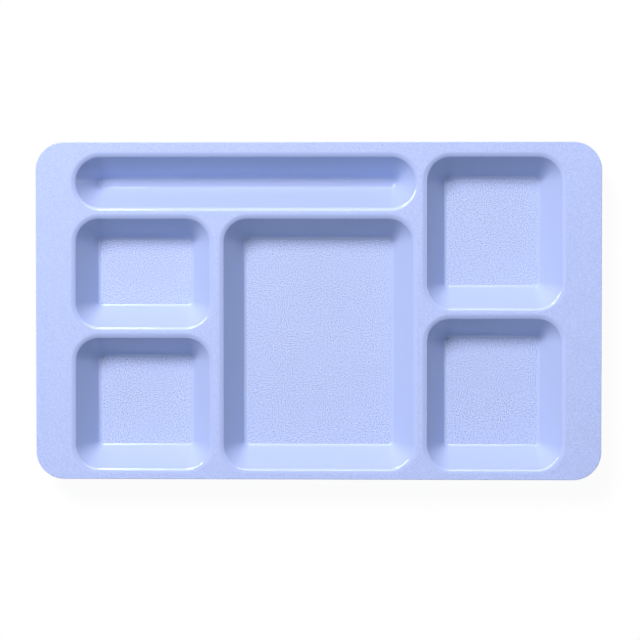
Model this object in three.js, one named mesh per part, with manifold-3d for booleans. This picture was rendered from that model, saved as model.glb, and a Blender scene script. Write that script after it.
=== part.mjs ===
// A rigid cafeteria tray with a cutlery slot and five food wells.
// Millimetres, +X to the right, +Y to the back (the slot's side), +Z up.
// The origin is at the centre of the tray's plan, on the plane the wells stand on.
//
// The moulding is one shell of even thickness. It is built from the forms it is designed in: a deck
// with six lipped openings, a turned-down skirt at its edge, and a wall and a floor for each well.

import * as THREE from "three";
import { mergeVertices } from "three/addons/utils/BufferGeometryUtils.js";
import Module from "manifold-3d";

const wasm = await Module();
wasm.setup();

// Shell and section
const SHELL = 2.8; // thickness of the moulding
const WELL_DEPTH = 23; // deck top to floor top
const WALL_LEAN = THREE.MathUtils.degToRad(31); // walls lean outwards from upright by this much
const LIP_RADIUS = 6.2; // deck rolling over towards a wall
const LIP_TURN = THREE.MathUtils.degToRad(36); // how far a lip turns down before it breaks off at the wall
const FLOOR_RADIUS = 2; // wall running out into the floor
const FLOOR_CORNER = 2; // plan radius at the corners of a well's flat floor

// Openings, measured on the deck plane where the walls would meet it without their lips
const SIDE_WELL_WIDTH = 91.7; // the two left and the two right wells, along X
const MAIN_WELL_WIDTH = 128.6;
const BACK_LEFT_LENGTH = 74.2; // along Y
const FRONT_LEFT_LENGTH = 89.4;
const SLOT_FLOOR_WIDTH = 5.5; // flat strip along the bottom of the cutlery slot

// Webs between openings and rims around them, on the same plane
const COLUMN_WEB = 8; // beside the main well
const ROW_WEB = 6; // between wells in a column, and round the slot
const SIDE_RIM = 26;
const BACK_RIM = 9.3;
const FRONT_RIM = 6.6;

// Outer edge
const TRAY_CORNER = 19; // plan radius of the tray's corners
const EDGE_RADIUS = 0.6; // rounding of the deck's outer edge
const SKIRT_HEIGHT = 3.4; // skirt below the underside of the deck
const SKIRT_ROUND = 0.8; // rounding of the skirt's lower edges

// Fineness of the facets
const CORNER_STEPS = 6; // per quarter turn in plan
const LIP_STEPS = 4;
const FILLET_STEPS = 3;
const EDGE_STEPS = 3;

const TOOL_REACH = 2; // how far a cutting form runs past the plate it cuts

// Levels
const floorTop = SHELL;
const deckTop = floorTop + WELL_DEPTH;
const deckUnder = deckTop - SHELL;

// Section of a well: spread is the distance outwards, in plan, from the edge of its flat floor
const wallSlope = Math.PI / 2 - WALL_LEAN;
const lipTurn = Math.min(LIP_TURN, wallSlope);
const lipRadius = Math.min(LIP_RADIUS, SHELL / (1 - Math.cos(lipTurn)));
const lipDrop = lipRadius * (1 - Math.cos(lipTurn));
const wallRun = WELL_DEPTH * Math.tan(WALL_LEAN);
const openingSpread = wallRun + FLOOR_RADIUS * Math.tan(wallSlope / 2);
const deckSpread = openingSpread - lipDrop * Math.tan(WALL_LEAN) + lipRadius * Math.sin(lipTurn);

/** Spread of the line that leans with the walls through a section point, at another height. */
function leanTo(point, z) {
  return point.spread + (z - point.z) * Math.tan(WALL_LEAN);
}

/** Section points on a circle; angle 0 is straight below the centre and turns outwards. */
function sectionArc(spread, z, radius, from, to, steps) {
  return Array.from({ length: steps + 1 }, (_, i) => {
    const angle = from + ((to - from) * i) / steps;
    return { spread: spread + radius * Math.sin(angle), z: z - radius * Math.cos(angle) };
  });
}

/** A rounded rectangle about the origin, kept as its corner radius and the distances to its sides. */
function roundedPlan(length, width, corner) {
  return { halfLength: length / 2, halfWidth: width / 2, corner };
}

/** Points round a plan grown by a spread, counter-clockwise; its corner centres stay where they are. */
function ringPoints(plan, spread, z) {
  const reachX = plan.halfLength - plan.corner;
  const reachY = plan.halfWidth - plan.corner;
  const radius = plan.corner + spread;
  const points = [];
  for (let quarter = 0; quarter < 4; quarter += 1) {
    const centreX = quarter === 0 || quarter === 3 ? reachX : -reachX;
    const centreY = quarter < 2 ? reachY : -reachY;
    for (let step = 0; step <= CORNER_STEPS; step += 1) {
      const angle = ((quarter + step / CORNER_STEPS) * Math.PI) / 2;
      const x = centreX + radius * Math.cos(angle);
      const y = centreY + radius * Math.sin(angle);
      points.push(new THREE.Vector3(x, y, z));
    }
  }
  return points;
}

/** Closed surface through rings that are listed from the bottom up, or round a closed section. */
function skin(plan, section, closedSection) {
  const rings = section.map(({ spread, z }) => ringPoints(plan, spread, z));
  const count = rings[0].length;
  const indices = [];
  const bands = closedSection ? rings.length : rings.length - 1;
  for (let low = 0; low < bands; low += 1) {
    const high = (low + 1) % rings.length;
    for (let side = 0; side < count; side += 1) {
      const next = (side + 1) % count;
      const [a, b] = [low * count + side, low * count + next];
      const [c, d] = [high * count + next, high * count + side];
      indices.push(a, b, c, a, c, d);
    }
  }
  if (!closedSection) {
    const top = (rings.length - 1) * count;
    const contour = rings[0].map(({ x, y }) => new THREE.Vector2(x, y));
    for (const [a, b, c] of THREE.ShapeUtils.triangulateShape(contour, [])) {
      indices.push(c, b, a, top + a, top + b, top + c);
    }
  }
  const geometry = new THREE.BufferGeometry().setFromPoints(rings.flat());
  geometry.setIndex(indices);
  return mergedShape(geometry);
}

/** The geometry with coinciding points merged and the triangles that this flattens taken out. */
function mergedShape(geometry) {
  const merged = mergeVertices(geometry);
  const kept = [];
  const index = merged.index.array;
  for (let i = 0; i < index.length; i += 3) {
    const [a, b, c] = [index[i], index[i + 1], index[i + 2]];
    if (a !== b && b !== c && c !== a) kept.push(a, b, c);
  }
  merged.setIndex(kept);
  return merged;
}

/** A closed geometry as a solid that can be cut. */
function toSolid(geometry) {
  return new wasm.Manifold(
    new wasm.Mesh({
      numProp: 3,
      vertProperties: new Float32Array(geometry.attributes.position.array),
      triVerts: new Uint32Array(geometry.index.array),
    }),
  );
}

/** A cut solid as a geometry again. */
function toGeometry(solid) {
  const { vertProperties, triVerts } = solid.getMesh();
  const geometry = new THREE.BufferGeometry();
  geometry.setAttribute("position", new THREE.BufferAttribute(vertProperties, 3));
  geometry.setIndex(new THREE.BufferAttribute(triVerts, 1));
  return geometry;
}

// Finishes of the pale blue plastic
const PLASTIC_BLUE = 0xb8caf8;
const SATIN_ROUGHNESS = 0.45;
const POLISHED_ROUGHNESS = 0.18;
const GRAINED_ROUGHNESS = 0.55;

/** One sub-part with its own finish. */
function part(name, geometry, roughness) {
  geometry.computeVertexNormals();
  const finish = new THREE.MeshStandardMaterial({ color: PLASTIC_BLUE, roughness, metalness: 0 });
  const mesh = new THREE.Mesh(geometry, finish);
  mesh.name = name;
  return mesh;
}

// Layout of the openings on the deck plane
const slotWidth = SLOT_FLOOR_WIDTH + 2 * openingSpread;
const wellsLength = 2 * SIDE_WELL_WIDTH + MAIN_WELL_WIDTH + 2 * COLUMN_WEB;
const wellsWidth = slotWidth + ROW_WEB + BACK_LEFT_LENGTH + ROW_WEB + FRONT_LEFT_LENGTH;
const trayLength = wellsLength + 2 * SIDE_RIM;
const trayWidth = wellsWidth + BACK_RIM + FRONT_RIM;

const leftX = -wellsLength / 2;
const rightX = wellsLength / 2;
const frontY = -trayWidth / 2 + FRONT_RIM;
const backY = trayWidth / 2 - BACK_RIM;

const leftColumnEnd = leftX + SIDE_WELL_WIDTH;
const rightColumnStart = rightX - SIDE_WELL_WIDTH;
const slotFront = backY - slotWidth;
const backLeftBack = slotFront - ROW_WEB;
const frontLeftBack = frontY + FRONT_LEFT_LENGTH;
const rightMiddle = (frontY + backY) / 2;

/** Where a well's opening lies, from its left, right, front and back edges. */
function opening(name, left, right, front, back, floorCorner = FLOOR_CORNER) {
  const floorLength = right - left - 2 * openingSpread;
  const floorWidth = back - front - 2 * openingSpread;
  return {
    name,
    centre: new THREE.Vector3((left + right) / 2, (front + back) / 2, 0),
    floorPlan: roundedPlan(floorLength, floorWidth, floorCorner),
  };
}

const wells = [
  opening("cutlery_slot", leftX, rightColumnStart - ROW_WEB, slotFront, backY, SLOT_FLOOR_WIDTH / 2),
  opening("back_left_well", leftX, leftColumnEnd, backLeftBack - BACK_LEFT_LENGTH, backLeftBack),
  opening("front_left_well", leftX, leftColumnEnd, frontY, frontLeftBack),
  opening("main_well", leftColumnEnd + COLUMN_WEB, rightColumnStart - COLUMN_WEB, frontY, backLeftBack),
  opening("back_right_well", rightColumnStart, rightX, rightMiddle + ROW_WEB / 2, backY),
  opening("front_right_well", rightColumnStart, rightX, frontY, rightMiddle - ROW_WEB / 2),
];

// Section of the walls: the inner face with its fillet, and the outer face parallel to it
const innerFillet = sectionArc(0, floorTop + FLOOR_RADIUS, FLOOR_RADIUS, 0, wallSlope, FILLET_STEPS);
const outerFillet = sectionArc(0, floorTop + FLOOR_RADIUS, FLOOR_RADIUS + SHELL, 0, wallSlope, FILLET_STEPS);
const innerTop = { spread: leanTo(innerFillet.at(-1), deckUnder), z: deckUnder };
const outerTop = { spread: leanTo(outerFillet.at(-1), deckUnder), z: deckUnder };
const wallSection = [...outerFillet, outerTop, innerTop, ...innerFillet.toReversed()];

/** Leaning wall of a well, from the underside of the deck to the edge of its flat floor. */
function wellWall(well) {
  return part(`${well.name}_wall`, skin(well.floorPlan, wallSection, true), POLISHED_ROUGHNESS);
}

/** Flat floor of a well, which fills the opening at the foot of its wall. */
function wellFloor(well) {
  const outline = ringPoints(well.floorPlan, 0, 0).map(({ x, y }) => new THREE.Vector2(x, y));
  const plate = new THREE.ExtrudeGeometry(new THREE.Shape(outline), { depth: SHELL, bevelEnabled: false });
  plate.translate(0, 0, floorTop - SHELL);
  return part(`${well.name}_floor`, plate, GRAINED_ROUGHNESS);
}

/** The hollow that a well opens in the deck: its wall, its lip and the air above it. */
function wellHollow(well) {
  const lip = sectionArc(deckSpread, deckTop - lipRadius, lipRadius, lipTurn - Math.PI, -Math.PI, LIP_STEPS);
  const below = deckUnder - TOOL_REACH;
  const section = [
    { spread: leanTo(innerTop, below), z: below },
    ...lip,
    { spread: deckSpread, z: deckTop + TOOL_REACH },
  ];
  return skin(well.floorPlan, section, false).translate(well.centre.x, well.centre.y, 0);
}

const trayPlan = roundedPlan(trayLength, trayWidth, TRAY_CORNER);

/** Deck: a plate with a rounded outer edge, opened by the six hollows. */
function deck() {
  const edgeCentre = deckTop - EDGE_RADIUS;
  const edge = sectionArc(-EDGE_RADIUS, edgeCentre, EDGE_RADIUS, Math.PI / 2, Math.PI, EDGE_STEPS);
  const plate = toSolid(skin(trayPlan, [{ spread: 0, z: deckUnder }, ...edge], false));
  const opened = wells.reduce((solid, well) => solid.subtract(toSolid(wellHollow(well))), plate);
  return part("deck", toGeometry(opened), SATIN_ROUGHNESS);
}

/** Skirt: the rim's edge turned down under the deck, with rounded lower edges. */
function edgeSkirt() {
  const foot = deckUnder - SKIRT_HEIGHT + SKIRT_ROUND;
  const inside = -SHELL;
  const outerRound = sectionArc(-SKIRT_ROUND, foot, SKIRT_ROUND, 0, Math.PI / 2, EDGE_STEPS);
  const innerRound = sectionArc(inside + SKIRT_ROUND, foot, SKIRT_ROUND, -Math.PI / 2, 0, EDGE_STEPS);
  const section = [
    ...outerRound,
    { spread: 0, z: deckUnder },
    { spread: inside, z: deckUnder },
    ...innerRound,
  ];
  return part("edge_skirt", skin(trayPlan, section, true), SATIN_ROUGHNESS);
}

const tray = new THREE.Group();
tray.add(deck(), edgeSkirt());
for (const well of wells) {
  const tub = new THREE.Group();
  tub.position.copy(well.centre);
  tub.add(wellWall(well), wellFloor(well));
  tray.add(tub);
}

export default tray;
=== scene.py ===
"""Looks of a rigid meal tray with a cutlery slot and five food wells.

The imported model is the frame. Sizes and places come from its nodes' boxes, and what a box can't tell,
such as a radius or the lean of a wall, is a named value in metres. The moulding's deck, skirt, walls
and floors are closed shells made of two kinds of surface: a section carried round a rounded rectangle,
and a flat field between such rectangles. Both are worked out as whole arrays, with exact normals.
"""

from __future__ import annotations

import logging
import math
from dataclasses import dataclass, field, replace
from enum import Enum
from operator import itemgetter

import bpy
import numpy as np
from mathutils import Matrix, Vector
from mathutils.geometry import delaunay_2d_cdt

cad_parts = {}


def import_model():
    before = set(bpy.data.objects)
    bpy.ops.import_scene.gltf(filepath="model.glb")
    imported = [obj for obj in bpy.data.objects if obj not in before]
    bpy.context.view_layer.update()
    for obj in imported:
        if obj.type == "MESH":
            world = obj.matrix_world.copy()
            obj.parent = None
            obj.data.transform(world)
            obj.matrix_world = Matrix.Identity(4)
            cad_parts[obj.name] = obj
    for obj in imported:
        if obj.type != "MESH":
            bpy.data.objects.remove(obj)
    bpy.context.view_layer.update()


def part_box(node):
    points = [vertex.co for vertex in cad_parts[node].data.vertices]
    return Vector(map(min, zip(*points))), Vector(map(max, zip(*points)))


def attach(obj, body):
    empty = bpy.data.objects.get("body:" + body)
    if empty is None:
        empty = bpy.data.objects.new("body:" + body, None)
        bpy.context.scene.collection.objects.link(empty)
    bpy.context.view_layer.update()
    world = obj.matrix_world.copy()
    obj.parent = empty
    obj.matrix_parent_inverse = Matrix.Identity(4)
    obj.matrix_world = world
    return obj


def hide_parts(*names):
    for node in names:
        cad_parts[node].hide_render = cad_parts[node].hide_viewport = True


Pair = tuple[float, float]
Socket = bpy.types.NodeSocket

LOG = logging.getLogger("tray")
ROOT_BODY = "root"
MM = 0.001

# Section of the moulding
WALL_LEAN = math.radians(31.0)
LIP_RADIUS = 6.2 * MM
LIP_TURN = math.radians(36.0)
FLOOR_TURN = math.radians(18.0)
FOOT_RADIUS = 4.8 * MM
UNDER_RADIUS = 2.5 * MM

# Plan radii and edges
FLOOR_CORNER = 2.0 * MM
TRAY_CORNER = 19.0 * MM
EDGE_RADIUS = 0.6 * MM
SKIRT_ROUND = 0.8 * MM
SKIRT_FILLET = 1.6 * MM

# Directions in a section, as outward and upward parts
OUTWARDS, INWARDS = (1.0, 0.0), (-1.0, 0.0)
UPWARDS, DOWNWARDS = (0.0, 1.0), (0.0, -1.0)

# Angles in a section, counted from straight below and turning outwards
BELOW, LEVEL, ABOVE = 0.0, math.pi / 2.0, math.pi

# Moulded texture: its attribute, its shares, and the part of a lip's turn over which it dies away
GRAIN = "grain"
SMOOTH, TEXTURED = 0.0, 1.0
GRAIN_FADE = 0.35

# Fineness of the meshes
CORNER_STEPS = 24
ARC_STEPS = 14
WELD = 1.0e-7

# Delaunay output that keeps the triangles inside the outer outline
KEEP_INSIDE = 1


class Facing(Enum):
    """Which side of an arc the air is on."""

    AWAY = 1.0
    TOWARDS = -1.0


class Side(Enum):
    """Which way a flat field faces."""

    UP = 1.0
    DOWN = -1.0


class LightUse(Enum):
    """What a studio light is for."""

    SHADING = "shading"
    MIRRORED = "mirrored"


class Slot(Enum):
    """The record's material slots."""

    SATIN = "satin_plastic"
    POLISHED = "polished_plastic"
    GRAINED = "grained_plastic"


@dataclass(frozen=True)
class Section:
    """A curve that is carried round a plan.

    Attributes:
        spread: Distance of each point outwards from the plan, in metres.
        height: Height of each point, in metres.
        out: Outward part of the surface's normal at each point.
        up: Upward part of that normal.
        grain: How much of the moulded texture each point carries, from 0 to 1.
    """

    spread: np.ndarray
    height: np.ndarray
    out: np.ndarray
    up: np.ndarray
    grain: np.ndarray

    @classmethod
    def arc(cls, centre: Pair, radius: float, start: float, end: float, facing: Facing) -> Section:
        """Part of a circle: its centre plus the radius times (sin a, -cos a), with a from start to end.

        Args:
            centre: Spread and height of the circle's centre.
            radius: The circle's radius.
            start: First angle, counted from straight below the centre and turning outwards.
            end: Last angle.
            facing: Whether the air lies away from the centre or towards it.

        Returns:
            The section, with normals along the spokes and no texture.
        """
        angle = np.linspace(start, end, ARC_STEPS + 1)
        spoke_out, spoke_up = np.sin(angle), -np.cos(angle)
        return cls(
            centre[0] + radius * spoke_out,
            centre[1] + radius * spoke_up,
            facing.value * spoke_out,
            facing.value * spoke_up,
            np.zeros_like(angle),
        )

    @classmethod
    def line(cls, start: Pair, end: Pair, normal: Pair) -> Section:
        """Straight stretch between two points, with one normal.

        Args:
            start: Spread and height of the first point.
            end: Spread and height of the last point.
            normal: Outward and upward parts of the normal.

        Returns:
            The section, without texture.
        """
        return cls(
            np.array([start[0], end[0]]),
            np.array([start[1], end[1]]),
            np.full(2, normal[0]),
            np.full(2, normal[1]),
            np.zeros(2),
        )

    def with_grain(self, grain: np.ndarray) -> Section:
        """The same section with the given share of texture at each point."""
        return replace(self, grain=grain)

    def first(self) -> Pair:
        """Spread and height of the first point."""
        return float(self.spread[0]), float(self.height[0])

    def last(self) -> Pair:
        """Spread and height of the last point."""
        return float(self.spread[-1]), float(self.height[-1])

    def then(self, other: Section) -> Section:
        """This section followed by another that goes on smoothly from its end.

        Args:
            other: The section to go on with, whose first point is this one's last.

        Returns:
            Both as one section, with the shared point once.
        """
        return Section(
            np.concatenate([self.spread, other.spread[1:]]),
            np.concatenate([self.height, other.height[1:]]),
            np.concatenate([self.out, other.out[1:]]),
            np.concatenate([self.up, other.up[1:]]),
            np.concatenate([self.grain, other.grain[1:]]),
        )


@dataclass(frozen=True)
class RoundedPlan:
    """A rounded rectangle seen from above, from which rings are grown outwards or inwards.

    Attributes:
        low: Left and front sides, in metres.
        high: Right and back sides, in metres.
        corner: Radius of the corners.
    """

    low: Pair
    high: Pair
    corner: float

    def spokes(self) -> tuple[np.ndarray, np.ndarray]:
        """Corner centres and unit directions of the outline's points, counter-clockwise.

        At each corner the direction is (cos a, sin a) with a running through a quarter turn. Points that
        coincide, where a straight side has no length, are kept once.

        Returns:
            The centres and the directions, each with a row for every point.
        """
        quarter = np.repeat(np.arange(4), CORNER_STEPS + 1)
        turn = np.tile(np.linspace(0.0, 1.0, CORNER_STEPS + 1), 4)
        angle = (quarter + turn) * math.pi / 2.0
        directions = np.stack([np.cos(angle), np.sin(angle)], axis=1)
        low, high = np.add(self.low, self.corner), np.subtract(self.high, self.corner)
        on_right, at_back = np.isin(quarter, (0, 3)), quarter < 2
        across = np.where(on_right, high[0], low[0])
        along = np.where(at_back, high[1], low[1])
        centres = np.stack([across, along], axis=1)
        points = centres + self.corner * directions
        apart = np.linalg.norm(points - np.roll(points, 1, axis=0), axis=1) > WELD
        return centres[apart], directions[apart]

    def ring(self, spread: float) -> np.ndarray:
        """Outline grown by a spread: corner centres plus (corner + spread) times the directions."""
        centres, directions = self.spokes()
        return centres + (self.corner + spread) * directions


@dataclass(frozen=True)
class Patch:
    """A stretch of surface with its own exact normals.

    Attributes:
        points: Places, a row each.
        normals: Unit normals, a row each.
        grain: Share of moulded texture at each point.
        faces: Corner numbers of the faces, three or four to a row.
    """

    points: np.ndarray
    normals: np.ndarray
    grain: np.ndarray
    faces: np.ndarray

    @classmethod
    def swept(cls, plan: RoundedPlan, section: Section) -> Patch:
        """A section carried round a plan.

        Point (i, j) is the plan's spoke j grown by the section's spread i, at the section's height i. Its
        normal is the section's outward part times the spoke's direction, and its upward part.

        Args:
            plan: The outline to go round.
            section: The curve to carry.

        Returns:
            The closed band, facing the way its normals point.
        """
        centres, directions = plan.spokes()
        rows, columns = len(section.spread), len(directions)
        reach = (plan.corner + section.spread)[:, None, None]
        flat = centres[None] + reach * directions[None]
        heights = np.broadcast_to(section.height[:, None, None], (rows, columns, 1))
        level = section.out[:, None, None] * directions[None]
        rise = np.broadcast_to(section.up[:, None, None], (rows, columns, 1))
        number = np.arange(rows * columns).reshape(rows, columns)
        after = np.roll(number, -1, axis=1)
        faces = np.stack([number[:-1], after[:-1], after[1:], number[1:]], axis=-1)
        return cls(
            np.concatenate([flat, heights], axis=-1).reshape(-1, 3),
            np.concatenate([level, rise], axis=-1).reshape(-1, 3),
            np.repeat(section.grain, columns),
            faces.reshape(-1, 4),
        ).turned_outwards()

    @classmethod
    def field(cls, outlines: list[np.ndarray], height: float, side: Side, grain: float) -> Patch:
        """A flat field inside the first outline and outside the others, at one height.

        The outlines' points and edges are joined into Delaunay triangles. The openings are convex, so a
        triangle with its three corners on the outline of one opening lies in that opening and is left out.

        Args:
            outlines: The outer outline, then those of the openings.
            height: Where the field lies.
            side: Whether it faces up or down.
            grain: Share of moulded texture all over the field.

        Returns:
            The field as triangles between the outlines' own points.
        """
        flat = np.concatenate(outlines)
        points = np.column_stack([flat, np.full(len(flat), height)])
        normals = np.broadcast_to((0.0, 0.0, side.value), points.shape)
        counts = np.array([len(ring) for ring in outlines])
        ring_of = np.repeat(np.arange(len(outlines)), counts)
        start = (np.cumsum(counts) - counts)[ring_of]
        own = np.arange(len(flat))
        following = start + (own - start + 1) % counts[ring_of]
        edges = np.column_stack([own, following]).tolist()
        meshed = delaunay_2d_cdt(list(map(Vector, flat)), edges, [], KEEP_INSIDE, WELD)
        _, _, triangles, sources, *_ = meshed
        faces = np.fromiter(map(itemgetter(0), sources), int)[np.array(triangles)]
        rings = ring_of[faces]
        in_opening = (rings[:, 0] > 0) & np.all(rings == rings[:, :1], axis=1)
        return cls(points, normals, np.full(len(points), grain), faces[~in_opening]).turned_outwards()

    def turned_outwards(self) -> Patch:
        """The patch with each face's corners in the order that agrees with the normals.

        A face is turned round where the cross product of two of its sides points against the sum of its
        corners' normals.

        Returns:
            The patch with its faces so turned.
        """
        a, b, c = (self.points[self.faces[:, k]] for k in range(3))
        facing = np.einsum("ij,ij->i", np.cross(b - a, c - a), self.normals[self.faces].sum(axis=1))
        return replace(self, faces=np.where((facing < 0.0)[:, None], self.faces[:, ::-1], self.faces))


@dataclass(frozen=True)
class Shell:
    """A closed piece of the moulding.

    Attributes:
        patches: Stretches of its surface, whose edges meet.
    """

    patches: list[Patch]

    def mesh(self, name: str) -> bpy.types.Mesh:
        """Joins the patches at their shared edges and keeps each patch's normals at its own corners.

        Args:
            name: Name of the new mesh.

        Returns:
            A closed, smooth mesh with a grain attribute on its points.
        """
        points = np.concatenate([patch.points for patch in self.patches])
        normals = np.concatenate([patch.normals for patch in self.patches])
        grain = np.concatenate([patch.grain for patch in self.patches])
        cells = np.round(points / WELD).astype(np.int64)
        _, kept, joined = np.unique(cells, axis=0, return_index=True, return_inverse=True)
        joined = joined.reshape(-1)
        faces: list[list[int]] = []
        corner_normals: list[np.ndarray] = []
        starts = np.cumsum([0] + [len(patch.points) for patch in self.patches])
        for start, patch in zip(starts, self.patches):
            corners = patch.faces + start
            faces.extend(joined[corners].tolist())
            corner_normals.append(normals[corners].reshape(-1, 3))
        mesh = bpy.data.meshes.new(name)
        mesh.from_pydata(points[kept].tolist(), [], faces)
        mesh.attributes.new(GRAIN, "FLOAT", "POINT").data.foreach_set("value", grain[kept])
        mesh.polygons.foreach_set("use_smooth", np.ones(len(faces), bool))
        mesh.normals_split_custom_set(np.concatenate(corner_normals).tolist())
        return mesh

    def place(self, name: str, node: str, slot: Slot, material: bpy.types.Material) -> None:
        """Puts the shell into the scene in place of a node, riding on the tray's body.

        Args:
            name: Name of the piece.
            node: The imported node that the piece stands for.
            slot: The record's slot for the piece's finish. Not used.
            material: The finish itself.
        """
        piece = bpy.data.objects.new(name, self.mesh(name))
        bpy.context.scene.collection.objects.link(piece)
        piece.data.materials.append(material)
        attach(piece, ROOT_BODY)
        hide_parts(node)
        LOG.info("%s: %d points, %d faces", name, len(piece.data.vertices), len(piece.data.polygons))


class NodeBench:
    """The node tree of a material or a world, with short ways to add joined nodes."""

    def __init__(self, owner: bpy.types.Material | bpy.types.World) -> None:
        """Empties the owner's tree.

        Args:
            owner: The material or world whose nodes are to be made.
        """
        owner.use_nodes = True
        self.tree = owner.node_tree
        self.tree.nodes.clear()

    def add(
        self, kind: str, inputs: dict[str | int, object] | None = None, **settings: object
    ) -> bpy.types.Node:
        """Adds a node.

        Args:
            kind: Blender's name of the node type.
            inputs: Values for its sockets, or output sockets to join to them.
            settings: Values for its own properties.

        Returns:
            The new node.
        """
        node = self.tree.nodes.new(kind)
        for key, value in settings.items():
            setattr(node, key, value)
        for key, value in (inputs or {}).items():
            if isinstance(value, Socket):
                self.tree.links.new(value, node.inputs[key])
            else:
                node.inputs[key].default_value = value
        return node

    def calculate(self, operation: str, *operands: Socket | float) -> Socket:
        """Result of a sum of the named kind on sockets or numbers."""
        return self.add("ShaderNodeMath", dict(enumerate(operands)), operation=operation).outputs["Value"]

    def noise(self, place: Socket, size: float, detail: float) -> Socket:
        """Soft noise from 0 to 1, with features of the given size in metres."""
        inputs = {"Vector": place, "Scale": 1.0 / size, "Detail": detail}
        return self.add("ShaderNodeTexNoise", inputs).outputs["Fac"]

    def ranged(self, value: Socket | float, low: float, high: float) -> Socket:
        """A value from 0 to 1, spread evenly between two others."""
        inputs = {"Value": value, "To Min": low, "To Max": high}
        return self.add("ShaderNodeMapRange", inputs).outputs["Result"]

    def mixed(self, share: Socket, first: Socket, second: Socket) -> Socket:
        """Two shaders mixed, with the given share of the second."""
        return self.add("ShaderNodeMixShader", {0: share, 1: first, 2: second}).outputs["Shader"]

    def background_rays(self) -> Socket:
        """1 for rays that show the background, and 0 for others.

        Returns:
            The larger of three marks: a ray from the camera, from a glossy face or through a clear one.
        """
        ray = self.add("ShaderNodeLightPath").outputs
        shown = self.calculate("MAXIMUM", ray["Is Camera Ray"], ray["Is Glossy Ray"])
        return self.calculate("MAXIMUM", shown, ray["Is Transmission Ray"])


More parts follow.
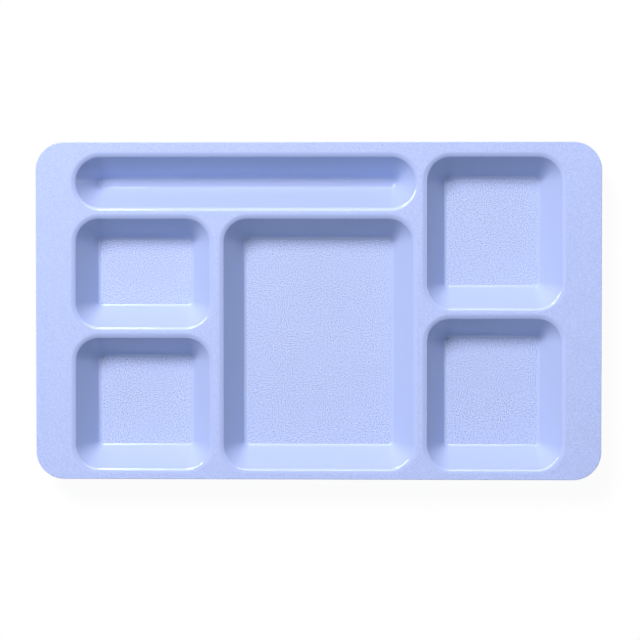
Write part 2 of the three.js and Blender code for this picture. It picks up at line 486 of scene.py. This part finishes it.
@dataclass(frozen=True)
class PlasticFinish:
    """One finish of the pale blue plastic.

    Attributes:
        name: Name of the material.
        colour: Base colour, linear red, green and blue.
        smooth_roughness: Roughness where the mould is polished.
        grain_roughness: Roughness where the mould is textured.
        pebble_size: Width of a pebble of the texture, in metres.
        pebble_height: Height of the texture, in metres.
        pebble_painted_shade: Painted shade and light on the texture: how much darker its pits and lighter
            its tops are painted in the colour.
        graded: Whether the texture follows the piece's grain attribute, instead of covering it all.
    """

    name: str
    colour: tuple[float, float, float]
    smooth_roughness: float
    grain_roughness: float
    pebble_size: float
    pebble_height: float
    pebble_painted_shade: float
    graded: bool

    REFRACTION = 1.54
    GLOSS_TINT = (0.75, 0.86, 1.0, 1.0)
    NOISE_MEAN = 0.5
    PEBBLE_DETAIL = 0.0
    TONE_SPAN = 0.018
    TONE_SIZE = 0.09
    TONE_DETAIL = 3.0
    ROUGHNESS_SPAN = 0.02
    ROUGHNESS_SIZE = 0.012
    ROUGHNESS_DETAIL = 4.0
    WAVE_SIZE = 0.06
    WAVE_DETAIL = 1.0
    WAVE_HEIGHT = 0.06 * MM

    def build(self) -> bpy.types.Material:
        """Makes the material: a drifting tone with painted shade in the pits, a varying roughness and a
        texture raised by bumps.

        Returns:
            The new material.
        """
        material = bpy.data.materials.new(self.name)
        bench = NodeBench(material)
        place = bench.add("ShaderNodeTexCoord").outputs["Object"]
        grain = self._grain(bench)
        pebble = self._pebble(bench, place, grain)
        shader = bench.add(
            "ShaderNodeBsdfPrincipled",
            {
                "Base Color": self._tone_and_painted_pits(bench, place, pebble),
                "Roughness": self._roughness(bench, place, grain),
                "Normal": self._relief(bench, place, pebble),
                "IOR": self.REFRACTION,
                "Specular Tint": self.GLOSS_TINT,
            },
        )
        bench.add("ShaderNodeOutputMaterial", {"Surface": shader.outputs["BSDF"]})
        return material

    def _grain(self, bench: NodeBench) -> Socket | float:
        """Share of texture.

        Args:
            bench: The material's nodes.

        Returns:
            The piece's attribute, or full texture all over.
        """
        if not self.graded:
            return TEXTURED
        return bench.add("ShaderNodeAttribute", attribute_name=GRAIN).outputs["Fac"]

    def _pebble(self, bench: NodeBench, place: Socket, grain: Socket | float) -> Socket:
        """Height of the texture about its mean: noise less its mean, times the share of texture.

        Args:
            bench: The material's nodes.
            place: Where on the piece.
            grain: Share of texture.

        Returns:
            The height, as a share of the texture's own.
        """
        noise = bench.noise(place, self.pebble_size, self.PEBBLE_DETAIL)
        level = bench.calculate("SUBTRACT", noise, self.NOISE_MEAN)
        return bench.calculate("MULTIPLY", level, grain)

    def _tone_and_painted_pits(self, bench: NodeBench, place: Socket, pebble: Socket) -> Socket:
        """The colour, a little darker or lighter in soft patches, with painted shade in the texture's pits
        and painted light on its tops.

        Args:
            bench: The material's nodes.
            place: Where on the piece.
            pebble: Height of the texture.

        Returns:
            The base colour.
        """
        drift = bench.noise(place, self.TONE_SIZE, self.TONE_DETAIL)
        broad = bench.ranged(drift, 1.0 - self.TONE_SPAN, 1.0 + self.TONE_SPAN)
        # The texture's height also scales the colour: painted shade darkens its pits and painted light
        # lightens its tops
        fine = bench.calculate("MULTIPLY_ADD", pebble, self.pebble_painted_shade, broad)
        tone = bench.add("ShaderNodeVectorMath", {0: self.colour, "Scale": fine}, operation="SCALE")
        return tone.outputs["Vector"]

    def _roughness(self, bench: NodeBench, place: Socket, grain: Socket | float) -> Socket:
        """Roughness between the polished and the textured value, with fine cloudiness.

        Args:
            bench: The material's nodes.
            place: Where on the piece.
            grain: Share of texture.

        Returns:
            The roughness.
        """
        base = bench.ranged(grain, self.smooth_roughness, self.grain_roughness)
        cloud = bench.noise(place, self.ROUGHNESS_SIZE, self.ROUGHNESS_DETAIL)
        swing = bench.ranged(cloud, -self.ROUGHNESS_SPAN, self.ROUGHNESS_SPAN)
        return bench.calculate("ADD", base, swing)

    def _relief(self, bench: NodeBench, place: Socket, pebble: Socket) -> Socket:
        """Broad waves of the cooled plastic, with the pebbled texture raised on them.

        Args:
            bench: The material's nodes.
            place: Where on the piece.
            pebble: Height of the texture.

        Returns:
            The bumped normal.
        """
        wave = bench.noise(place, self.WAVE_SIZE, self.WAVE_DETAIL)
        broad = {"Height": wave, "Strength": 1.0, "Distance": self.WAVE_HEIGHT}
        fine = {"Height": pebble, "Strength": 1.0, "Distance": self.pebble_height}
        waves = bench.add("ShaderNodeBump", broad).outputs["Normal"]
        return bench.add("ShaderNodeBump", {**fine, "Normal": waves}).outputs["Normal"]


# A finish's pebble tone paints shade into the texture's pits and light onto its tops, in the base colour
FINISHES = {
    Slot.SATIN: PlasticFinish(
        name="satin_plastic",
        colour=(0.411, 0.494, 0.78),
        smooth_roughness=0.06,
        grain_roughness=0.56,
        pebble_size=0.85 * MM,
        pebble_height=0.15 * MM,
        pebble_painted_shade=0.33,
        graded=True,
    ),
    Slot.POLISHED: PlasticFinish(
        name="polished_plastic",
        colour=(0.421, 0.504, 0.76),
        smooth_roughness=0.05,
        grain_roughness=0.05,
        pebble_size=0.8 * MM,
        pebble_height=0.0,
        pebble_painted_shade=0.0,
        graded=False,
    ),
    Slot.GRAINED: PlasticFinish(
        name="grained_plastic",
        colour=(0.428, 0.508, 0.775),
        smooth_roughness=0.45,
        grain_roughness=0.45,
        pebble_size=0.7 * MM,
        pebble_height=0.4 * MM,
        pebble_painted_shade=1.35,
        graded=False,
    ),
}


@dataclass(frozen=True)
class TrayFrame:
    """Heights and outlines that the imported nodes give.

    Attributes:
        outline: The tray's outline.
        deck_top: Height of the deck's upper face.
        deck_under: Height of its lower face.
    """

    outline: RoundedPlan
    deck_top: float
    deck_under: float

    @classmethod
    def read(cls) -> TrayFrame:
        """Reads the deck's box."""
        low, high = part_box("deck")
        return cls(RoundedPlan(low[:2], high[:2], TRAY_CORNER), high.z, low.z)

    @property
    def shell(self) -> float:
        """Thickness of the moulding."""
        return self.deck_top - self.deck_under


@dataclass
class Well:
    """One food well, or the cutlery slot: its floor, its walls and its lip in the deck.

    Attributes:
        name: Name that its nodes start with.
        tray: The tray's heights and outline.
        floor_slot: Finish of the floor.
        round_ends: Whether the ends of the floor are half circles.
        plan: Outline of the flat floor, from its node's box.
        floor_top: Height of the floor's upper face.
        floor_under: Height of its lower face.
    """

    name: str
    tray: TrayFrame
    floor_slot: Slot = Slot.GRAINED
    round_ends: bool = False
    plan: RoundedPlan = field(init=False)
    floor_top: float = field(init=False)
    floor_under: float = field(init=False)

    SLOPE = math.pi / 2.0 - WALL_LEAN
    WALL_NORMAL = (-math.sin(SLOPE), math.cos(SLOPE))

    def __post_init__(self) -> None:
        """Reads the floor's box and works out its plan."""
        low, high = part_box(f"{self.name}_floor")
        corner = (high.y - low.y) / 2.0 if self.round_ends else FLOOR_CORNER
        self.plan = RoundedPlan(low[:2], high[:2], corner)
        self.floor_top, self.floor_under = high.z, low.z

    @property
    def opening_spread(self) -> float:
        """How far outside the flat floor the wall's line would meet the deck's plane.

        Returns:
            The wall's run, depth times the tangent of its lean, plus the spread of the wall's foot.
        """
        depth = self.tray.deck_top - self.floor_top
        return depth * math.tan(WALL_LEAN) + self.foot_spread

    @property
    def foot_spread(self) -> float:
        """How far outside the flat floor the wall's line would meet the floor's plane.

        The outer foot, less the shell, is a round that touches both, so this is its tangent length.

        Returns:
            That round's radius times the tangent of half the slope.
        """
        return (FOOT_RADIUS - self.tray.shell) * math.tan(self.SLOPE / 2.0)

    @property
    def floor_radius(self) -> float:
        """Radius of the fillet that leaves the wall smoothly and meets the floor at an angle.

        Returns:
            The foot's spread over 1/sin(slope) - sin(turn) - cos(turn)/tan(slope), where the turn is the
            angle at the floor.
        """
        level, rise = math.sin(FLOOR_TURN), math.cos(FLOOR_TURN)
        return self.foot_spread / (1.0 / math.sin(self.SLOPE) - level - rise / math.tan(self.SLOPE))

    @property
    def deck_spread(self) -> float:
        """How far outside the flat floor the lip leaves the deck.

        The lip turns down by its angle and then breaks off at the wall's line. Its far end lies on that
        line, at the lip's drop, and its start lies further out.

        Returns:
            The spread of the far end, plus the lip's radius times the sine of its angle.
        """
        drop = LIP_RADIUS * (1.0 - math.cos(LIP_TURN))
        return self.opening_spread - drop * math.tan(WALL_LEAN) + LIP_RADIUS * math.sin(LIP_TURN)

    def _wall_top(self) -> Pair:
        """Spread and height where the wall's line passes the deck's underside."""
        return self.opening_spread - self.tray.shell * math.tan(WALL_LEAN), self.tray.deck_under

    def _inner_face(self) -> Section:
        """Wall and fillet from the deck's underside down to the edge of the flat floor.

        Returns:
            A straight line, then an arc that leaves it smoothly.
        """
        radius = self.floor_radius
        centre = (-radius * math.sin(FLOOR_TURN), self.floor_top + radius * math.cos(FLOOR_TURN))
        fillet = Section.arc(centre, radius, self.SLOPE, FLOOR_TURN, Facing.TOWARDS)
        return Section.line(self._wall_top(), fillet.first(), self.WALL_NORMAL).then(fillet)

    def _outer_face(self) -> Section:
        """Rounded foot, outer wall and the fillet under the deck.

        Returns:
            An arc, a straight line parallel to the inner wall, and an arc that ends level.
        """
        foot_centre = (0.0, self.floor_under + FOOT_RADIUS)
        foot = Section.arc(foot_centre, FOOT_RADIUS, BELOW, self.SLOPE, Facing.AWAY)
        reach = self.opening_spread + (UNDER_RADIUS + self.tray.shell) * math.tan(self.SLOPE / 2.0)
        centre = (reach, self.tray.deck_under - UNDER_RADIUS)
        fillet = Section.arc(centre, UNDER_RADIUS, self.SLOPE - ABOVE, -ABOVE, Facing.TOWARDS)
        normal = (-self.WALL_NORMAL[0], -self.WALL_NORMAL[1])
        return foot.then(Section.line(foot.last(), fillet.first(), normal)).then(fillet)

    def lip(self) -> list[Patch]:
        """Rounded lip, and the start of the wall down to the deck's underside.

        The texture's share falls evenly from 1 to 0 over the first part of the lip's turn.

        Returns:
            The wall's start and the lip.
        """
        centre = (self.deck_spread, self.tray.deck_top - LIP_RADIUS)
        arc = Section.arc(centre, LIP_RADIUS, LIP_TURN - ABOVE, -ABOVE, Facing.AWAY)
        turn = np.linspace(1.0, 0.0, ARC_STEPS + 1)
        arc = arc.with_grain(np.clip(1.0 - turn / GRAIN_FADE, SMOOTH, TEXTURED))
        start = Section.line(self._wall_top(), arc.first(), self.WALL_NORMAL)
        return [Patch.swept(self.plan, part) for part in (start, arc)]

    def deck_outline(self) -> np.ndarray:
        """Where the lip leaves the deck's flat top."""
        return self.plan.ring(self.deck_spread)

    def under_outline(self) -> np.ndarray:
        """Where the wall passes the deck's underside."""
        return self.plan.ring(self._wall_top()[0])

    def build_wall(self, material: bpy.types.Material) -> None:
        """Makes the wall as a closed ring: outer face, top, inner face and the edge that holds the floor.

        Args:
            material: Its finish.
        """
        outer, inner = self._outer_face(), self._inner_face()
        top = Section.line(outer.last(), inner.first(), UPWARDS)
        seat = Section.line(inner.last(), outer.first(), INWARDS)
        node = f"{self.name}_wall"
        shell = Shell([Patch.swept(self.plan, part) for part in (outer, top, inner, seat)])
        shell.place(f"{node}_skin", node, Slot.POLISHED, material)

    def build_floor(self, material: bpy.types.Material) -> None:
        """Makes the floor as a plate between the wall's lower edges.

        Args:
            material: Its finish.
        """
        ring = self.plan.ring(0.0)
        edge = Section.line((0.0, self.floor_under), (0.0, self.floor_top), OUTWARDS)
        node = f"{self.name}_floor"
        patches = [
            Patch.field([ring], self.floor_top, Side.UP, TEXTURED),
            Patch.swept(self.plan, edge),
            Patch.field([ring], self.floor_under, Side.DOWN, TEXTURED),
        ]
        Shell(patches).place(f"{node}_plate", node, self.floor_slot, material)


@dataclass
class Deck:
    """Flat top of the tray, opened by the wells' lips and rounded along its outer edge.

    Attributes:
        tray: The tray's heights and outline.
        wells: The wells that open in it.
    """

    tray: TrayFrame
    wells: list[Well]

    def build(self, material: bpy.types.Material) -> None:
        """Makes the deck as a closed plate: top field, lips, outer edge and underside.

        Args:
            material: Its finish.
        """
        tray = self.tray
        top = [tray.outline.ring(-EDGE_RADIUS), *(well.deck_outline() for well in self.wells)]
        under = [tray.outline.ring(0.0), *(well.under_outline() for well in self.wells)]
        centre = (-EDGE_RADIUS, tray.deck_top - EDGE_RADIUS)
        round_edge = Section.arc(centre, EDGE_RADIUS, LEVEL, ABOVE, Facing.AWAY)
        round_edge = round_edge.with_grain(np.linspace(SMOOTH, TEXTURED, ARC_STEPS + 1))
        side = Section.line((0.0, tray.deck_under), round_edge.first(), OUTWARDS)
        patches = [
            Patch.field(top, tray.deck_top, Side.UP, TEXTURED),
            *(patch for well in self.wells for patch in well.lip()),
            Patch.swept(tray.outline, side.then(round_edge)),
            Patch.field(under, tray.deck_under, Side.DOWN, SMOOTH),
        ]
        Shell(patches).place("deck_skin", "deck", Slot.SATIN, material)


@dataclass
class EdgeSkirt:
    """Turned-down edge under the deck's rim.

    Attributes:
        tray: The tray's heights and outline.
    """

    tray: TrayFrame

    def build(self, material: bpy.types.Material) -> None:
        """Makes the skirt as a closed ring with rounded lower edges and a fillet under the deck.

        Args:
            material: Its finish.
        """
        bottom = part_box("edge_skirt")[0].z + SKIRT_ROUND
        top, inside = self.tray.deck_under, -self.tray.shell
        outer_round = Section.arc((-SKIRT_ROUND, bottom), SKIRT_ROUND, BELOW, LEVEL, Facing.AWAY)
        inner_round = Section.arc((inside + SKIRT_ROUND, bottom), SKIRT_ROUND, -LEVEL, BELOW, Facing.AWAY)
        centre = (inside - SKIRT_FILLET, top - SKIRT_FILLET)
        fillet = Section.arc(centre, SKIRT_FILLET, ABOVE, LEVEL, Facing.TOWARDS)
        outer = outer_round.then(Section.line(outer_round.last(), (0.0, top), OUTWARDS))
        inner = fillet.then(Section.line(fillet.last(), inner_round.first(), INWARDS)).then(inner_round)
        seat = Section.line(outer.last(), inner.first(), UPWARDS)
        foot = Section.line(inner.last(), outer.first(), DOWNWARDS)
        shell = Shell([Patch.swept(self.tray.outline, part) for part in (outer, seat, inner, foot)])
        shell.place("edge_skirt_skin", "edge_skirt", Slot.SATIN, material)


@dataclass(frozen=True)
class Softbox:
    """A studio light with a flat rectangular face.

    Attributes:
        name: Name of the light.
        azimuth: Direction from the tray to the light, in degrees from +X towards +Y.
        elevation: Its height above the table, in degrees.
        distance: Its distance from the tray's middle, in metres.
        width: Length of its level side, in metres.
        height: Length of its other side, in metres.
        power: Its power, in watts.
        use: Whether it shades the tray, or is a card that only reflections show.
        colour: Tint of its light.
    """

    name: str
    azimuth: float
    elevation: float
    distance: float
    width: float
    height: float
    power: float
    use: LightUse = LightUse.MIRRORED
    colour: tuple[float, float, float] = (1.0, 1.0, 1.0)

    def build(self) -> None:
        """Hangs the light on a sphere about the tray and turns it to the middle."""
        lamp = bpy.data.lights.new(self.name, "AREA")
        lamp.shape = "RECTANGLE"
        lamp.size, lamp.size_y = self.width, self.height
        lamp.energy, lamp.color = self.power, self.colour
        light = bpy.data.objects.new(self.name, lamp)
        bpy.context.scene.collection.objects.link(light)
        azimuth, elevation = math.radians(self.azimuth), math.radians(self.elevation)
        level = self.distance * math.cos(elevation)
        light.location = (
            level * math.cos(azimuth),
            level * math.sin(azimuth),
            self.distance * math.sin(elevation),
        )
        light.rotation_euler = (-light.location).to_track_quat("-Z", "Y").to_euler()
        light.visible_diffuse = self.use is LightUse.SHADING
        light.visible_glossy = self.use is LightUse.MIRRORED
        light.visible_camera = False


@dataclass
class Studio:
    """Floor, lights, world and camera.

    Attributes:
        deck_top: Height of the deck, on which the camera's sizes are measured.
    """

    deck_top: float

    WHITE = (1.0, 1.0, 1.0, 1.0)
    FLOOR_SIDE = 8.0
    FLOOR_GAP = 0.2 * MM
    FLOOR_TONE = (0.92, 0.92, 0.92, 1.0)
    SHADOW_SHARE = 0.045
    SKY = (0.23, 0.265, 0.302, 1.0)
    SWEEP_FULL = math.sin(math.radians(12.0))
    SWEEP_END = math.sin(math.radians(28.0))

    # Name, azimuth, elevation, distance, width, height and power, with use and colour where they differ
    LIGHTS = (
        Softbox("key_softbox", 118.0, 49.5, 3.0, 0.75, 0.9, 113.6, LightUse.SHADING, (0.995, 0.95, 0.98)),
        Softbox("back_card", 98.0, 39.0, 1.9, 1.1, 1.4, 13.5),
        Softbox("corner_card", 132.0, 39.0, 0.8, 0.52, 0.2, 4.4),
        Softbox("slot_card", 91.0, 52.0, 1.9, 1.3, 0.26, 7.2),
        Softbox("left_card", 190.0, 68.0, 1.8, 0.7, 0.5, 1.4),
        Softbox("right_card", 356.0, 23.0, 1.8, 1.6, 0.56, 7.5),
        Softbox("front_card", 268.0, 17.0, 1.8, 1.7, 0.45, 7.0),
    )

    CAMERA_FOOT = (0.028, 0.055)
    CAMERA_RISE = 1.213
    CAMERA_AIM = (0.003, 0.030)
    CAMERA_SHIFT = (-0.0038, -0.0838)
    FRAME_WIDTH = 0.4292

    def build(self) -> None:
        """Sets up the whole studio."""
        self._floor()
        self._world()
        for light in self.LIGHTS:
            light.build()
        self._camera()
        bpy.context.scene.view_settings.view_transform = "Standard"

    def _floor(self) -> None:
        """Pale floor, white to the camera and to reflections, with a faint shadow of the tray."""
        half = self.FLOOR_SIDE / 2.0
        corners = np.array([[-half, -half], [half, -half], [half, half], [-half, half]])
        points = np.column_stack([corners, np.full(len(corners), -self.FLOOR_GAP)])
        mesh = bpy.data.meshes.new("studio_floor")
        mesh.from_pydata(points.tolist(), [], [[0, 1, 2, 3]])
        material = bpy.data.materials.new("studio_floor")
        bench = NodeBench(material)
        matt = bench.add("ShaderNodeBsdfDiffuse", {"Color": self.FLOOR_TONE}).outputs["BSDF"]
        white = bench.add("ShaderNodeEmission", {"Color": self.WHITE, "Strength": 1.0}).outputs["Emission"]
        shown = bench.calculate("MULTIPLY", bench.background_rays(), 1.0 - self.SHADOW_SHARE)
        bench.add("ShaderNodeOutputMaterial", {"Surface": bench.mixed(shown, matt, white)})
        mesh.materials.append(material)
        floor = bpy.data.objects.new("studio_floor", mesh)
        bpy.context.scene.collection.objects.link(floor)

    def _world(self) -> None:
        """Dim cool sky over a white sweep, which only the camera and reflections see.

        The sweep's share runs from 1 to 0 as the sine of the elevation passes from its full height to its
        end.
        """
        world = bpy.data.worlds.new("studio_world")
        bench = NodeBench(world)
        direction = bench.add("ShaderNodeTexCoord").outputs["Generated"]
        rise = bench.add("ShaderNodeSeparateXYZ", {"Vector": direction}).outputs["Z"]
        span = {"From Min": self.SWEEP_FULL, "From Max": self.SWEEP_END, "To Min": 1.0, "To Max": 0.0}
        low = bench.add("ShaderNodeMapRange", {"Value": rise, **span}, interpolation_type="SMOOTHSTEP")
        share = bench.calculate("MULTIPLY", low.outputs["Result"], bench.background_rays())
        sky, sweep = (
            bench.add("ShaderNodeBackground", {"Color": colour}).outputs["Background"]
            for colour in (self.SKY, self.WHITE)
        )
        bench.add("ShaderNodeOutputWorld", {"Surface": bench.mixed(share, sky, sweep)})
        bpy.context.scene.world = world

    def _camera(self) -> None:
        """Camera above the tray, a little to the back and right of its middle, as the photograph has it."""
        lens = bpy.data.cameras.new("photo_camera")
        lens.lens = lens.sensor_width * self.CAMERA_RISE / self.FRAME_WIDTH
        lens.shift_x, lens.shift_y = self.CAMERA_SHIFT
        camera = bpy.data.objects.new("photo_camera", lens)
        bpy.context.scene.collection.objects.link(camera)
        camera.location = (*self.CAMERA_FOOT, self.deck_top + self.CAMERA_RISE)
        backwards = (camera.location - Vector((*self.CAMERA_AIM, self.deck_top))).normalized()
        right = Vector((0.0, 1.0, 0.0)).cross(backwards).normalized()
        turn = Matrix((right, backwards.cross(right), backwards)).transposed()
        camera.rotation_euler = turn.to_euler()
        bpy.context.scene.camera = camera


def main() -> None:
    """Loads the frame, builds the tray's pieces in order and sets up the studio."""
    logging.basicConfig(level=logging.INFO, format="%(message)s")
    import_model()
    tray = TrayFrame.read()
    finishes = {slot: finish.build() for slot, finish in FINISHES.items()}
    wells = [
        Well("cutlery_slot", tray, Slot.POLISHED, round_ends=True),
        Well("back_left_well", tray),
        Well("front_left_well", tray),
        Well("main_well", tray),
        Well("back_right_well", tray),
        Well("front_right_well", tray),
    ]
    Deck(tray, wells).build(finishes[Slot.SATIN])
    EdgeSkirt(tray).build(finishes[Slot.SATIN])
    for well in wells:
        well.build_wall(finishes[Slot.POLISHED])
        well.build_floor(finishes[well.floor_slot])
    Studio(tray.deck_top).build()


if __name__ == "__main__":
    main()
